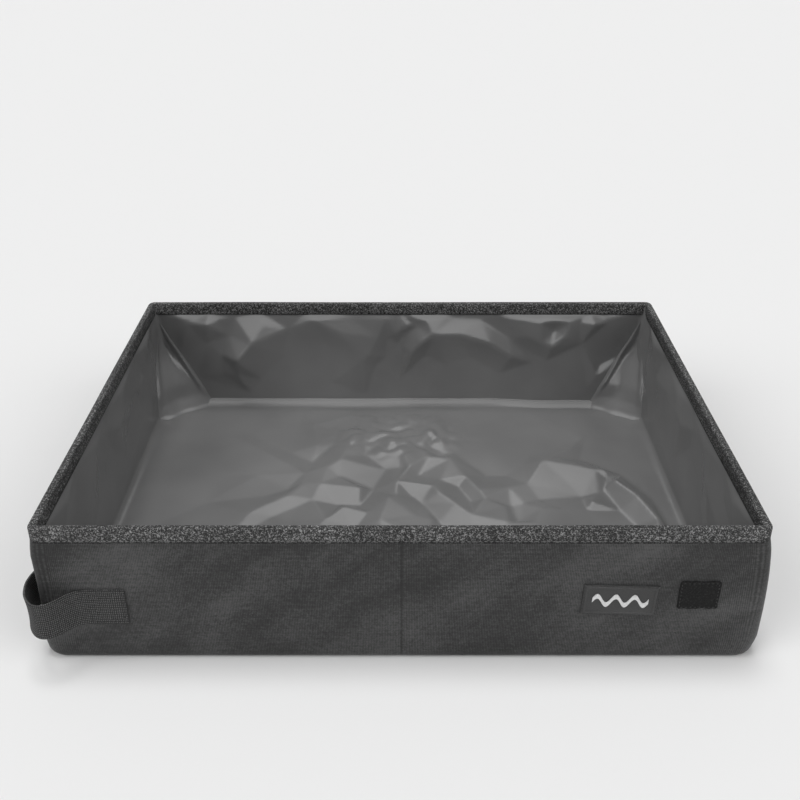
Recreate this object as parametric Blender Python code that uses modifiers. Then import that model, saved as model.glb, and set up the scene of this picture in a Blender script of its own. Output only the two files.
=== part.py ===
# Foldable fabric litter tray: a sewn tray of coated cloth with stiffening boards in its
# walls and base, a waterproof film liner, a taped rim, and a strap that closes it flat.
# Units are metres, +Z is up, and the origin is the middle of the footprint on the floor.
# The end walls turn inward onto the floor, and their upper corners, which hold no board,
# fold back over them along a slanting line and draw the long walls in on top. The two base
# halves then fold back to back about the cross crease.

import math

import bmesh
import bpy
from mathutils import Matrix, Vector

MM = 0.001

# Overall size of the open tray
TRAY_WIDTH = 420 * MM
TRAY_DEPTH = 320 * MM
TRAY_HEIGHT = 97 * MM
CREASE_X = 1.0 * MM

# Layers
COVER_CLOTH = 0.6 * MM
WALL_BOARD = 1.5 * MM
BASE_BOARD = 2.5 * MM
LINER_FILM = 0.5 * MM
LAYER_GAP = 0.3 * MM
BASE_EDGE_RADIUS = 3.0 * MM
BOARD_MARGIN = 4.0 * MM
BOARD_CORNER = 3.0 * MM

# Rim binding, one tape folded over the top edge
BINDING_TAPE = 0.6 * MM
BINDING_DROP = 10.0 * MM

# Closing strap, 25 mm webbing
WEBBING_WIDTH = 25.0 * MM
WEBBING_THICK = 1.5 * MM
STRAP_HEIGHT_Z = 41.0 * MM
STRAP_TAB_FROM_SIDE = 48.5 * MM
STRAP_TAB_LENGTH = 26.0 * MM
STRAP_SIDE_REACH = 18.0 * MM
STRAP_TURN_Y = 8.0 * MM
STRAP_BULGE_X = 1.0 * MM
STRAP_BULGE_OUT = 17.0 * MM
STRAP_START_SLACK = 8.0 * MM
STRAP_BULGE_SLACK = 6.0 * MM
STRAP_FRONT_SLACK = 12.0 * MM
STRAP_BACK_SLACK = 16.0 * MM
STRAP_PARK_FROM_FRONT = 53.0 * MM
STRAP_PARK_LENGTH = 24.0 * MM
STRAP_CURVE_STEPS = 14

# Hook and loop patches
PATCH_THICK = 1.0 * MM
PATCH_INSET = 1.0 * MM
PARKING_PATCH_TALL = 25.0 * MM
CLOSURE_PATCH_WIDTH = 24.0 * MM
CLOSURE_PATCH_TALL = 20.0 * MM
CLOSURE_PATCH_FROM_SIDE = 20.5 * MM
CLOSURE_PATCH_Z = 48.0 * MM
PATCH_CORNER = 1.5 * MM

# Sewn rubber label
LABEL_WIDTH = 44.0 * MM
LABEL_TALL = 21.0 * MM
LABEL_THICK = 1.2 * MM
LABEL_CENTRE_FROM_SIDE = 78.5 * MM
LABEL_CENTRE_Z = 45.0 * MM
LABEL_TILT = math.radians(-2.4)
LABEL_CORNER = 0.8 * MM
LABEL_BORDER_WIDTH = 0.9 * MM
LABEL_BORDER_INSET = 1.6 * MM
LABEL_RELIEF = 0.4 * MM
MOTIF_WAVE_LENGTH = 8.0 * MM
MOTIF_WAVE_TALL = 6.0 * MM
MOTIF_BAND = 2.4 * MM
MOTIF_WAVES = 3

# Thread
STITCH_THICK = 0.6 * MM
STITCH_CORNER = 1.2 * MM
STITCH_INSET = 2.0 * MM

CUT_OVERRUN = 5.0 * MM
CORNER_STEPS = 6

# What follows from those sizes
HALF_WIDTH = TRAY_WIDTH / 2
HALF_DEPTH = TRAY_DEPTH / 2
WALL = COVER_CLOTH + WALL_BOARD + LINER_FILM + 2 * LAYER_GAP
BINDING_PROUD = LAYER_GAP + BINDING_TAPE
PATCH_PROUD = LAYER_GAP + PATCH_THICK
CORNER = WALL + BINDING_PROUD
BASE_TOP = COVER_CLOTH + BASE_BOARD + LINER_FILM + 2 * LAYER_GAP
END_HINGE_Z = BASE_TOP + LAYER_GAP + BINDING_PROUD
CORNER_AXIS_OUT = (PATCH_PROUD + LAYER_GAP) / 2
LONG_HINGE_Z = END_HINGE_Z + 2 * WALL + 2 * CORNER_AXIS_OUT + 2 * BINDING_PROUD + LAYER_GAP
COVER_TOP_Z = TRAY_HEIGHT - BINDING_TAPE - LAYER_GAP
BINDING_LOW_Z = TRAY_HEIGHT - BINDING_DROP
BOARD_TOP_Z = BINDING_LOW_Z - LAYER_GAP
LONG_HALF_SPAN = HALF_WIDTH - CORNER - LAYER_GAP
CORNER_START = HALF_DEPTH - CORNER
END_HALF_SPAN = CORNER_START - LAYER_GAP

SIDES = {"left": -1, "right": 1}
FACES = {"front": -1, "back": 1}


def make_material(name, colour, roughness):
    material = bpy.data.materials.new(name)
    material.use_nodes = True
    shader = material.node_tree.nodes["Principled BSDF"]
    shader.inputs["Base Color"].default_value = (*colour, 1.0)
    shader.inputs["Roughness"].default_value = roughness
    material.diffuse_color = (*colour, 1.0)
    return material


def clear_scene():
    for thing in list(bpy.data.objects):
        bpy.data.objects.remove(thing)


def new_collection(name):
    collection = bpy.data.collections.new(name)
    bpy.context.scene.collection.children.link(collection)
    return collection


clear_scene()
TRAY = new_collection("foldable_litter_tray")
CUTTERS = new_collection("cutters")
CUTTERS.hide_render = True

OXFORD = make_material("coated_cloth", (0.055, 0.055, 0.056), 0.8)
TAPE = make_material("binding_tape", (0.04, 0.04, 0.04), 0.9)
FILM = make_material("liner_film", (0.11, 0.11, 0.11), 0.35)
BOARD = make_material("stiffener_board", (0.35, 0.33, 0.3), 0.7)
WEBBING = make_material("strap_webbing", (0.045, 0.045, 0.045), 0.9)
HOOK_LOOP = make_material("hook_and_loop", (0.018, 0.018, 0.018), 1.0)
RUBBER = make_material("label_rubber", (0.06, 0.06, 0.06), 0.55)
PALE_PRINT = make_material("pale_print", (0.78, 0.78, 0.78), 0.5)
THREAD = make_material("sewing_thread", (0.03, 0.03, 0.03), 0.8)


def hinge_empty(name, place):
    """An empty on a joint's axis, which carries the pieces that turn about it."""
    empty = bpy.data.objects.new("hinge_" + name, None)
    TRAY.objects.link(empty)
    empty.location = place
    return empty


def carry(piece, parent):
    """Parents a piece that is already in place."""
    if parent is not None:
        bpy.context.view_layer.update()
        piece.parent = parent
        piece.matrix_parent_inverse = parent.matrix_world.inverted()
    return piece


def finish_mesh(name, shape, material, collection=None):
    mesh = bpy.data.meshes.new(name)
    shape.to_mesh(mesh)
    shape.free()
    piece = bpy.data.objects.new(name, mesh)
    (collection or TRAY).objects.link(piece)
    if material:
        mesh.materials.append(material)
    return piece


def block(name, low, high, material, collection=None):
    """A box between two corners, with its origin at its middle."""
    low, high = Vector(low), Vector(high)
    shape = bmesh.new()
    bmesh.ops.create_cube(shape, size=1)
    bmesh.ops.scale(shape, vec=high - low, verts=shape.verts)
    piece = finish_mesh(name, shape, material, collection)
    piece.location = (low + high) / 2
    return piece


def subtract(piece, cutter):
    cutter.hide_render = True
    cutter.display_type = "WIRE"
    cut = piece.modifiers.new("cut_" + cutter.name, "BOOLEAN")
    cut.operation = "DIFFERENCE"
    cut.object = cutter
    return piece


def flat_outline(name, points, thick, frame, material, holes=()):
    """A flat sheet: a filled 2D outline, extruded by half its thickness each way."""
    curve = bpy.data.curves.new(name, "CURVE")
    curve.dimensions = "2D"
    curve.fill_mode = "BOTH"
    curve.extrude = thick / 2
    for ring in (points, *holes):
        spline = curve.splines.new("POLY")
        spline.points.add(len(ring) - 1)
        for knot, (u, v) in zip(spline.points, ring):
            knot.co = (u, v, 0, 1)
        spline.use_cyclic_u = True
    curve.materials.append(material)
    piece = bpy.data.objects.new(name, curve)
    TRAY.objects.link(piece)
    piece.matrix_world = frame
    return piece


def frame_of(origin, across, up):
    """The placing whose local X is across, local Y is up and local Z their normal."""
    across, up = Vector(across), Vector(up)
    turn = Matrix((across, up, across.cross(up))).transposed().to_4x4()
    return Matrix.Translation(origin) @ turn


def rounded_corners(width, tall, radius, steps=3):
    """The corners of a rounded rectangle about its centre."""
    ring = []
    for quarter, (sx, sy) in enumerate(((1, 1), (-1, 1), (-1, -1), (1, -1))):
        for step in range(steps + 1):
            turn = math.pi / 2 * (quarter + step / steps)
            ring.append(
                (
                    sx * (width / 2 - radius) + radius * math.cos(turn),
                    sy * (tall / 2 - radius) + radius * math.sin(turn),
                )
            )
    return ring


# The base: a cloth trough with a board and a film laid in it, in two halves


def tray_block(name, inset, low_z, high_z, radius, material, collection=None):
    """A box over the whole footprint, its lower and upright edges rounded."""
    shape = bmesh.new()
    bmesh.ops.create_cube(shape, size=1)
    size = Vector((TRAY_WIDTH - 2 * inset, TRAY_DEPTH - 2 * inset, high_z - low_z))
    bmesh.ops.scale(shape, vec=size, verts=shape.verts)
    if radius:
        edges = [e for e in shape.edges if min(v.co.z for v in e.verts) < 0]
        bmesh.ops.bevel(
            shape,
            geom=edges,
            offset=radius,
            offset_type="OFFSET",
            affect="EDGES",
            segments=3,
            profile=0.5,
            material=-1,
            clamp_overlap=True,
        )
    piece = finish_mesh(name, shape, material, collection)
    piece.location = (0, 0, (low_z + high_z) / 2)
    return piece


def keep_side(piece, side):
    """Cuts away the other side of the crease."""
    edge = CREASE_X + side * LAYER_GAP / 2
    far = -side * (HALF_WIDTH + CUT_OVERRUN)
    low_x, high_x = sorted((edge, far))
    cutter = block(
        piece.name + "_other_half",
        (low_x, -HALF_DEPTH - CUT_OVERRUN, -CUT_OVERRUN),
        (high_x, HALF_DEPTH + CUT_OVERRUN, TRAY_HEIGHT),
        None,
        CUTTERS,
    )
    return subtract(piece, cutter)


def trough(name, inset, floor_low, floor_thick, wall_thick, radius, material):
    """An open trough whose sides rise to the wall hinges: low at the ends, high along the tray."""
    long_top = LONG_HINGE_Z - LAYER_GAP
    end_top = END_HINGE_Z - LAYER_GAP
    piece = tray_block(name, inset, floor_low, long_top, radius, material)
    hollow = tray_block(
        name + "_hollow",
        inset + wall_thick,
        floor_low + floor_thick,
        long_top + CUT_OVERRUN,
        max(radius - wall_thick, 0),
        None,
        CUTTERS,
    )
    subtract(piece, hollow)
    for side_name, side in SIDES.items():
        inner = side * (HALF_WIDTH - WALL - LAYER_GAP)
        outer = side * (HALF_WIDTH + CUT_OVERRUN)
        low_x, high_x = sorted((inner, outer))
        half_span = CORNER_START + WALL + LAYER_GAP / 2
        notch = block(
            f"{name}_end_notch_{side_name}",
            (low_x, -half_span, end_top),
            (high_x, half_span, LONG_HINGE_Z),
            None,
            CUTTERS,
        )
        for corner in notch.data.vertices:
            if corner.co.z > 0:
                corner.co.y -= math.copysign(LONG_HINGE_Z - end_top, corner.co.y)
        subtract(piece, notch)
    return piece


def make_base(side_name, parent):
    side = SIDES[side_name]
    cover = trough(
        "base_cover_" + side_name, 0, 0, COVER_CLOTH, COVER_CLOTH, BASE_EDGE_RADIUS, OXFORD
    )
    board_inset = COVER_CLOTH + LAYER_GAP
    board = tray_block(
        "base_board_" + side_name,
        board_inset,
        board_inset,
        board_inset + BASE_BOARD,
        BASE_EDGE_RADIUS - board_inset,
        BOARD,
    )
    film = trough(
        "floor_liner_" + side_name,
        WALL - LINER_FILM,
        BASE_TOP - LINER_FILM,
        LINER_FILM,
        LINER_FILM,
        0,
        FILM,
    )
    for piece in (cover, board, film):
        carry(keep_side(piece, side), parent)


# The long walls, each in two halves that meet at the crease


def long_wall_frame(face, layer_out, layer_thick, centre_x=0):
    """Placing of a sheet in a long wall: layer_out is measured in from the outer face."""
    y = face * (HALF_DEPTH - layer_out - layer_thick / 2)
    return frame_of((centre_x, y, 0), (1, 0, 0), (0, 0, 1))


def rectangle(low_u, high_u, low_v, high_v):
    return [(low_u, low_v), (high_u, low_v), (high_u, high_v), (low_u, high_v)]


def binding_channel(name, length_centre, length, across, outer, inward, parent):
    """The folded tape: a channel over the rim, drawn as a section and extruded along the rim."""
    outer_u = -BINDING_PROUD
    inner_u = WALL + BINDING_PROUD
    section = [
        (outer_u, BINDING_LOW_Z),
        (outer_u + BINDING_TAPE, BINDING_LOW_Z),
        (outer_u + BINDING_TAPE, TRAY_HEIGHT - BINDING_TAPE),
        (inner_u - BINDING_TAPE, TRAY_HEIGHT - BINDING_TAPE),
        (inner_u - BINDING_TAPE, BINDING_LOW_Z),
        (inner_u, BINDING_LOW_Z),
        (inner_u, TRAY_HEIGHT),
        (outer_u, TRAY_HEIGHT),
    ]
    origin = Vector(across) * length_centre + Vector(outer)
    piece = flat_outline(name, section, length, frame_of(origin, inward, (0, 0, 1)), TAPE)
    return carry(piece, parent)


def make_long_wall(face_name, side_name, parent):
    face, side = FACES[face_name], SIDES[side_name]
    name = f"{face_name}_{side_name}"
    outer_x = side * LONG_HALF_SPAN
    crease_x = CREASE_X + side * LAYER_GAP / 2
    low_x, high_x = sorted((outer_x, crease_x))

    cover = flat_outline(
        name + "_cover",
        rectangle(low_x, high_x, LONG_HINGE_Z, COVER_TOP_Z),
        COVER_CLOTH,
        long_wall_frame(face, 0, COVER_CLOTH),
        OXFORD,
    )
    board_low_z = LONG_HINGE_Z + LAYER_GAP
    board_centre_x = (low_x + high_x) / 2
    board_centre_z = (board_low_z + BOARD_TOP_Z) / 2
    board_frame = long_wall_frame(face, COVER_CLOTH + LAYER_GAP, WALL_BOARD, board_centre_x)
    board_frame = Matrix.Translation((0, 0, board_centre_z)) @ board_frame
    board = flat_outline(
        name + "_board",
        rounded_corners(
            high_x - low_x - 2 * BOARD_MARGIN, BOARD_TOP_Z - board_low_z, BOARD_CORNER
        ),
        WALL_BOARD,
        board_frame,
        BOARD,
    )
    liner = flat_outline(
        name + "_liner",
        rectangle(low_x, high_x, LONG_HINGE_Z, COVER_TOP_Z),
        LINER_FILM,
        long_wall_frame(face, WALL - LINER_FILM, LINER_FILM),
        FILM,
    )
    for piece in (cover, board, liner):
        carry(piece, parent)
    binding_channel(
        name + "_binding",
        (low_x + high_x) / 2,
        high_x - low_x,
        (1, 0, 0),
        (0, face * HALF_DEPTH, 0),
        (0, -face, 0),
        parent,
    )


# The end walls stand between the long ones, and narrow upward to the folds at their corners


def end_wall_outline(margin, low_z, top_z):
    """Depth and height of a layer: slanting at 45 degrees up to the rim tape, upright above it."""
    knee_z = min(BINDING_LOW_Z, top_z)
    reach = END_HALF_SPAN + END_HINGE_Z - margin * math.sqrt(2)
    half = [(reach - low_z, low_z), (reach - knee_z, knee_z)]
    if top_z > knee_z:
        half.append((reach - knee_z, top_z))
    return half + [(-y, z) for y, z in reversed(half)]


def end_frame(side, layer_out, layer_thick):
    x = side * (HALF_WIDTH - layer_out - layer_thick / 2)
    return frame_of((x, 0, 0), (0, 1, 0), (0, 0, 1))


def make_end_wall(side_name, parent):
    side = SIDES[side_name]
    name = "end_" + side_name
    panel = end_wall_outline(0, END_HINGE_Z, COVER_TOP_Z)
    cover = flat_outline(
        name + "_cover", panel, COVER_CLOTH, end_frame(side, 0, COVER_CLOTH), OXFORD
    )
    board = flat_outline(
        name + "_board",
        end_wall_outline(BOARD_MARGIN, END_HINGE_Z + LAYER_GAP, BOARD_TOP_Z),
        WALL_BOARD,
        end_frame(side, COVER_CLOTH + LAYER_GAP, WALL_BOARD),
        BOARD,
    )
    liner = flat_outline(
        name + "_liner", panel, LINER_FILM, end_frame(side, WALL - LINER_FILM, LINER_FILM), FILM
    )
    for piece in (cover, board, liner):
        carry(piece, parent)
    binding_channel(
        name + "_binding",
        0,
        2 * (END_HALF_SPAN + END_HINGE_Z - BINDING_LOW_Z),
        (0, 1, 0),
        (side * HALF_WIDTH, 0, 0),
        (-side, 0, 0),
        parent,
    )


# The four corners: cloth, film and tape with no board, which run from the end wall's slanting
# fold round to the long wall


def corner_place(side, face):
    """The middle of a corner's upright rounding."""
    return Vector((side * (HALF_WIDTH - CORNER), face * CORNER_START, 0))


def corner_turns():
    return [math.pi / 2 * step / CORNER_STEPS for step in range(CORNER_STEPS + 1)]


def corner_sheet(name, radius, thick, side, face, material):
    """Cloth or film: flat above the slanting fold, then turned through a quarter round."""
    shape = bmesh.new()
    low_z = LONG_HINGE_Z
    knee = END_HINGE_Z - BINDING_LOW_Z
    flat = [(END_HINGE_Z - low_z, low_z), (knee, BINDING_LOW_Z), (knee, COVER_TOP_Z)]
    corners = [shape.verts.new((side * radius, face * along, z)) for along, z in flat]
    uprights = []
    for turn in corner_turns():
        x, y = side * radius * math.cos(turn), face * radius * math.sin(turn)
        uprights.append([shape.verts.new((x, y, z)) for z in (COVER_TOP_Z, low_z)])
    shape.faces.new(corners + uprights[0])
    for near, far in zip(uprights, uprights[1:]):
        shape.faces.new((near[1], near[0], far[0], far[1]))
    if side * face > 0:
        bmesh.ops.reverse_faces(shape, faces=shape.faces)
    piece = finish_mesh(name, shape, material)
    thickness = piece.modifiers.new("sheet_thickness", "SOLIDIFY")
    thickness.thickness = thick
    thickness.offset = -1
    thickness.use_even_offset = True
    return piece


def corner_tape(name, side, face, material):
    """The rim tape: straight over the flat of the corner, then turned through a quarter round."""
    inner, outer = LAYER_GAP / 3, CORNER + BINDING_PROUD
    inside_inner, inside_outer = BINDING_PROUD - LAYER_GAP, CORNER + LAYER_GAP
    section = [
        (inside_outer, BINDING_LOW_Z),
        (outer, BINDING_LOW_Z),
        (outer, TRAY_HEIGHT),
        (inner, TRAY_HEIGHT),
        (inner, BINDING_LOW_Z),
        (inside_inner, BINDING_LOW_Z),
        (inside_inner, TRAY_HEIGHT - BINDING_TAPE),
        (inside_outer, TRAY_HEIGHT - BINDING_TAPE),
    ]
    run = BINDING_LOW_Z - END_HINGE_Z
    shape = bmesh.new()
    rings = [[shape.verts.new((side * r, -face * run, z)) for r, z in section]]
    for turn in corner_turns():
        x, y = side * math.cos(turn), face * math.sin(turn)
        rings.append([shape.verts.new((r * x, r * y, z)) for r, z in section])
    count = len(section)
    for near, far in zip(rings, rings[1:]):
        for index in range(count):
            after = (index + 1) % count
            shape.faces.new((near[index], near[after], far[after], far[index]))
    shape.faces.new(rings[0])
    shape.faces.new(rings[-1])
    bmesh.ops.recalc_face_normals(shape, faces=shape.faces)
    return finish_mesh(name, shape, material)


def make_corner(face_name, side_name, parent):
    face, side = FACES[face_name], SIDES[side_name]
    name = f"corner_{face_name}_{side_name}"
    film_radius = BINDING_PROUD + LINER_FILM
    pieces = (
        corner_sheet(name + "_cloth", CORNER, COVER_CLOTH, side, face, OXFORD),
        corner_sheet(name + "_film", film_radius, LINER_FILM, side, face, FILM),
        corner_tape(name + "_binding", side, face, TAPE),
    )
    for piece in pieces:
        piece.location = corner_place(side, face)
        carry(piece, parent)


# Thread: a raised line of stitching round a rectangle, sewn as one closed run


def stitch_line(name, width, tall, frame, parent):
    """One closed run of thread, half a stitch thick, lying on the face that the frame marks."""
    outer = rounded_corners(width, tall, STITCH_CORNER)
    inner = rounded_corners(
        width - 2 * STITCH_THICK, tall - 2 * STITCH_THICK, STITCH_CORNER - STITCH_THICK
    )
    lifted = frame @ Matrix.Translation((0, 0, STITCH_THICK / 2))
    piece = flat_outline(name, outer, STITCH_THICK, lifted, THREAD, holes=[inner])
    return carry(piece, parent)


def front_face_frame(centre_x, centre_z, proud, tilt=0.0):
    """A placing on the front wall's outer face, its local Z pointing out at the viewer."""
    turn = Matrix.Rotation(tilt, 4, "Z")
    origin = (centre_x, -HALF_DEPTH - proud, centre_z)
    return frame_of(origin, (1, 0, 0), (0, 0, 1)) @ turn


# The closing strap and the hook and loop patches


def make_strap_anchor(parent):
    centre_x = -HALF_WIDTH + STRAP_TAB_FROM_SIDE - STRAP_TAB_LENGTH / 2
    proud = LAYER_GAP + WEBBING_THICK / 2
    tab = flat_outline(
        "strap_anchor_tab",
        rounded_corners(STRAP_TAB_LENGTH, WEBBING_WIDTH, PATCH_CORNER),
        WEBBING_THICK,
        front_face_frame(centre_x, STRAP_HEIGHT_Z, proud),
        WEBBING,
    )
    carry(tab, parent)
    stitch_proud = 2 * LAYER_GAP + WEBBING_THICK
    stitch_line(
        "strap_anchor_stitching",
        STRAP_TAB_LENGTH - 2 * STITCH_INSET,
        WEBBING_WIDTH - 2 * STITCH_INSET,
        front_face_frame(centre_x, STRAP_HEIGHT_Z, stitch_proud),
        parent,
    )


def strap_hinge_point():
    x = -HALF_WIDTH + STRAP_TAB_FROM_SIDE - STRAP_TAB_LENGTH - LAYER_GAP - WEBBING_THICK / 2
    y = -HALF_DEPTH - LAYER_GAP - WEBBING_THICK / 2
    return Vector((x, y, STRAP_HEIGHT_Z))


def strap_plane_x():
    """The strap's middle plane where it is parked on the end wall's patch."""
    return -HALF_WIDTH - 2 * PATCH_PROUD - LAYER_GAP - WEBBING_THICK / 2


def park_span():
    """Where the parked end lies along the end wall, nearest the front first."""
    start = -HALF_DEPTH + STRAP_PARK_FROM_FRONT
    return start, start + STRAP_PARK_LENGTH


def make_strap(parent):
    """One length of webbing: off the front wall, round the corner and back to the end wall."""
    start = strap_hinge_point()
    park_start, park_end = park_span()
    bulge = Vector((-HALF_WIDTH - STRAP_BULGE_X, -HALF_DEPTH - STRAP_BULGE_OUT, 0))
    turn = Vector((-HALF_WIDTH - STRAP_SIDE_REACH, -HALF_DEPTH + STRAP_TURN_Y, 0))
    plane_x = strap_plane_x()
    knots = [
        ((start.x, start.y), (STRAP_START_SLACK, 0), (-STRAP_START_SLACK, 0)),
        ((bulge.x, bulge.y), (STRAP_BULGE_SLACK, 0), (-STRAP_BULGE_SLACK, 0)),
        ((turn.x, turn.y), (0, -STRAP_FRONT_SLACK), (0, STRAP_BACK_SLACK)),
        ((plane_x, park_start), (0, -STRAP_BACK_SLACK), (0, STRAP_PARK_LENGTH / 3)),
        ((plane_x, park_end), (0, -STRAP_PARK_LENGTH / 3), (0, STRAP_PARK_LENGTH / 3)),
    ]
    curve = bpy.data.curves.new("carry_strap", "CURVE")
    curve.dimensions = "2D"
    curve.fill_mode = "NONE"
    curve.resolution_u = STRAP_CURVE_STEPS
    curve.extrude = WEBBING_WIDTH / 2
    spline = curve.splines.new("BEZIER")
    spline.bezier_points.add(len(knots) - 1)
    for knot, (place, before, after) in zip(spline.bezier_points, knots):
        knot.handle_left_type = "FREE"
        knot.handle_right_type = "FREE"
        knot.co = (place[0] - start.x, place[1] - start.y, 0)
        knot.handle_left = knot.co + Vector((*before, 0))
        knot.handle_right = knot.co + Vector((*after, 0))
    curve.materials.append(WEBBING)
    strap = bpy.data.objects.new("carry_strap", curve)
    TRAY.objects.link(strap)
    strap.location = start
    weld = strap.modifiers.new("weld", "WELD")
    weld.merge_threshold = 0.01 * MM
    thick = strap.modifiers.new("webbing_thickness", "SOLIDIFY")
    thick.thickness = WEBBING_THICK
    thick.offset = 0
    thick.use_even_offset = True
    carry(strap, parent)

    hook_x = -HALF_WIDTH - PATCH_PROUD - LAYER_GAP
    half_tall = WEBBING_WIDTH / 2 - PATCH_INSET
    hook = block(
        "strap_hook_pad",
        (hook_x - PATCH_THICK, park_start + PATCH_INSET, STRAP_HEIGHT_Z - half_tall),
        (hook_x, park_end - PATCH_INSET, STRAP_HEIGHT_Z + half_tall),
        HOOK_LOOP,
    )
    carry(hook, parent)


def make_parking_patch(parent):
    park_start, park_end = park_span()
    patch = flat_outline(
        "parking_loop_patch",
        rounded_corners(park_end - park_start, PARKING_PATCH_TALL, PATCH_CORNER),
        PATCH_THICK,
        frame_of(
            (
                -HALF_WIDTH - LAYER_GAP - PATCH_THICK / 2,
                (park_start + park_end) / 2,
                STRAP_HEIGHT_Z,
            ),
            (0, -1, 0),
            (0, 0, 1),
        ),
        HOOK_LOOP,
    )
    carry(patch, parent)


def make_closure_patch(parent):
    centre_x = HALF_WIDTH - CLOSURE_PATCH_FROM_SIDE - CLOSURE_PATCH_WIDTH / 2
    patch = flat_outline(
        "closure_loop_patch",
        rounded_corners(CLOSURE_PATCH_WIDTH, CLOSURE_PATCH_TALL, PATCH_CORNER),
        PATCH_THICK,
        front_face_frame(centre_x, CLOSURE_PATCH_Z, LAYER_GAP + PATCH_THICK / 2),
        HOOK_LOOP,
    )
    carry(patch, parent)
    stitch_line(
        "closure_patch_stitching",
        CLOSURE_PATCH_WIDTH - STITCH_INSET,
        CLOSURE_PATCH_TALL - STITCH_INSET,
        front_face_frame(centre_x, CLOSURE_PATCH_Z, PATCH_PROUD + LAYER_GAP),
        parent,
    )


# The rubber label: a plate, a raised border and a plain wave


def make_label(parent):
    centre_x = HALF_WIDTH - LABEL_CENTRE_FROM_SIDE

    def on_label(proud):
        return front_face_frame(centre_x, LABEL_CENTRE_Z, proud, LABEL_TILT)

    plate = flat_outline(
        "label_plate",
        rounded_corners(LABEL_WIDTH, LABEL_TALL, LABEL_CORNER),
        LABEL_THICK,
        on_label(LAYER_GAP + LABEL_THICK / 2),
        RUBBER,
    )
    relief_proud = 2 * LAYER_GAP + LABEL_THICK + LABEL_RELIEF / 2
    outer_width = LABEL_WIDTH - 2 * LABEL_BORDER_INSET
    outer_tall = LABEL_TALL - 2 * LABEL_BORDER_INSET
    border = flat_outline(
        "label_border",
        rounded_corners(outer_width, outer_tall, LABEL_CORNER),
        LABEL_RELIEF,
        on_label(relief_proud),
        RUBBER,
        holes=[
            rounded_corners(
                outer_width - 2 * LABEL_BORDER_WIDTH,
                outer_tall - 2 * LABEL_BORDER_WIDTH,
                LABEL_CORNER / 2,
            )
        ],
    )
    peaks = [
        ((step - MOTIF_WAVES) * MOTIF_WAVE_LENGTH / 2, (step % 2 - 1 / 2) * MOTIF_WAVE_TALL)
        for step in range(2 * MOTIF_WAVES + 1)
    ]
    band = [(u, v - MOTIF_BAND) for u, v in peaks] + [(u, v + MOTIF_BAND) for u, v in peaks[::-1]]
    motif = flat_outline("label_motif", band, LABEL_RELIEF, on_label(relief_proud), PALE_PRINT)
    for piece in (plate, border, motif):
        carry(piece, parent)
    stitch_line(
        "label_stitching",
        LABEL_WIDTH - LABEL_BORDER_INSET,
        LABEL_TALL - LABEL_BORDER_INSET,
        on_label(2 * LAYER_GAP + LABEL_THICK),
        parent,
    )


def build_tray():
    crease = hinge_empty("base_fold", (CREASE_X, 0, -LAYER_GAP / 2))
    halves = {"left": None, "right": crease}
    long_hinges = {}
    for side_name, side in SIDES.items():
        make_base(side_name, halves[side_name])
        for face_name, face in FACES.items():
            name = f"{face_name}_{side_name}"
            place = (side * HALF_WIDTH / 2, face * (HALF_DEPTH - WALL), LONG_HINGE_Z)
            hinge = carry(hinge_empty(name, place), halves[side_name])
            long_hinges[name] = hinge
            make_long_wall(face_name, side_name, hinge)
        place = (side * (HALF_WIDTH - WALL), 0, END_HINGE_Z)
        end_hinge = carry(hinge_empty("end_" + side_name, place), halves[side_name])
        make_end_wall(side_name, end_hinge)
        if side_name == "left":
            make_parking_patch(end_hinge)
        for face_name, face in FACES.items():
            place = (side * (HALF_WIDTH + CORNER_AXIS_OUT), face * CORNER_START, END_HINGE_Z)
            hinge = carry(hinge_empty(f"corner_{face_name}_{side_name}", place), end_hinge)
            make_corner(face_name, side_name, hinge)
    make_strap_anchor(long_hinges["front_left"])
    strap_hinge = carry(hinge_empty("strap", strap_hinge_point()), long_hinges["front_left"])
    make_strap(strap_hinge)
    make_closure_patch(long_hinges["front_right"])
    make_label(long_hinges["front_right"])


build_tray()
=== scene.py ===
import math

import bmesh
import bpy
from mathutils import Matrix, Vector, geometry, noise
from mathutils.bvhtree import BVHTree


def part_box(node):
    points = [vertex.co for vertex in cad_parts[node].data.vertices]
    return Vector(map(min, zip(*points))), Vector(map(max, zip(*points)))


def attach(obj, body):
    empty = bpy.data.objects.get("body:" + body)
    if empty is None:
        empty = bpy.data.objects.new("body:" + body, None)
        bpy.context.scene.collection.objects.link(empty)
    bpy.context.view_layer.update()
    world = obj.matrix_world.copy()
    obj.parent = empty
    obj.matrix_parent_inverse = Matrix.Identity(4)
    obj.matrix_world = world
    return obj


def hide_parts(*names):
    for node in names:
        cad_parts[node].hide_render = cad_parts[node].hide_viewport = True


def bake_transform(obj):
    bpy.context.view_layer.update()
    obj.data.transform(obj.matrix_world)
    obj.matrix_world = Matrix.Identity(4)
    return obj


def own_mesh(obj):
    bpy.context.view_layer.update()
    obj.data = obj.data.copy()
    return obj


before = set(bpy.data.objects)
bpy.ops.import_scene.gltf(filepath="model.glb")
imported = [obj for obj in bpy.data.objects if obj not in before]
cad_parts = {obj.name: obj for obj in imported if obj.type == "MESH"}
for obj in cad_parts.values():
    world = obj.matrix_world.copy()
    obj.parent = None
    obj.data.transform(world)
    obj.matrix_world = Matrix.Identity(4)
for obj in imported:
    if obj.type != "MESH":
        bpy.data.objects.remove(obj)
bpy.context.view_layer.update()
scene = bpy.context.scene

# The view: level with the middle of the front wall, looking down at about 29 degrees from
# arm's length, with the whole tray in the lower part of a square frame.
scene.view_settings.view_transform = "Standard"
camera_data = bpy.data.cameras.new("camera")
camera_data.sensor_width = 36
camera_data.lens = 45.1
camera_data.clip_start = 0.01
camera = bpy.data.objects.new("camera", camera_data)
camera.location = (0, -0.618, 0.4321)
camera.rotation_euler = (math.radians(90 - 28.9), 0, 0)
scene.collection.objects.link(camera)
scene.camera = camera

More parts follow.
